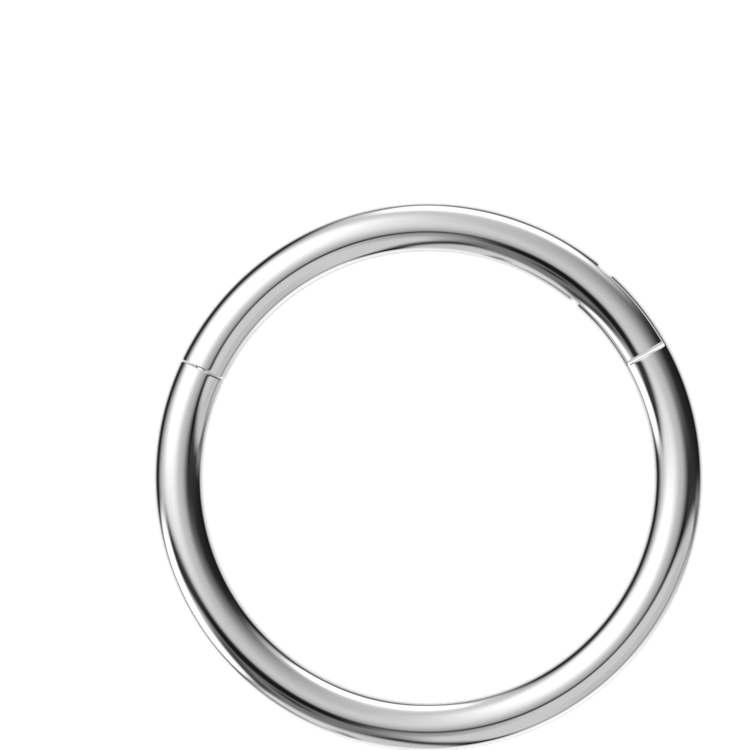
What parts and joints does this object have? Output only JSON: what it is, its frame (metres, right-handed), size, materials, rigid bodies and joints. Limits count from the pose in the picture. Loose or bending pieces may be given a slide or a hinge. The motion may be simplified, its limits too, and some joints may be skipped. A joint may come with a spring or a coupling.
{
  "type": "nose ring",
  "caption": "Plain round wire ring for a piercing, with an upper segment that swings open on a flush hinge and closes on a hidden post.",
  "frame": {"origin": "centre of the closed ring, on the surface that it lies on", "axes": "+Z out of the ring's front face, square to the ring; +Y from the centre to the top of the ring in the front view; +X to the right, the hinge's side"},
  "size_m": [0.0144, 0.0144, 0.0012],
  "materials": {
    "polished_steel": "mirror-polished surgical steel",
    "pin_steel": "drawn steel wire, ends dressed flush and polished",
    "turned_steel": "fine-turned and polished surgical steel"
  },
  "bodies": {
    "ring": {"lower_arc": "polished_steel"},
    "gate": {"hinged_gate": "polished_steel", "hinge_pin": "pin_steel", "clasp_post": "turned_steel"}
  },
  "joints": [
    {"name": "gate_swing", "type": "hinge", "parent": "ring", "child": "gate", "pos_m": [0.00513, 0.00431, 0.0006], "axis": [0, 0, -1], "range_deg": [0, 150]}
  ]
}
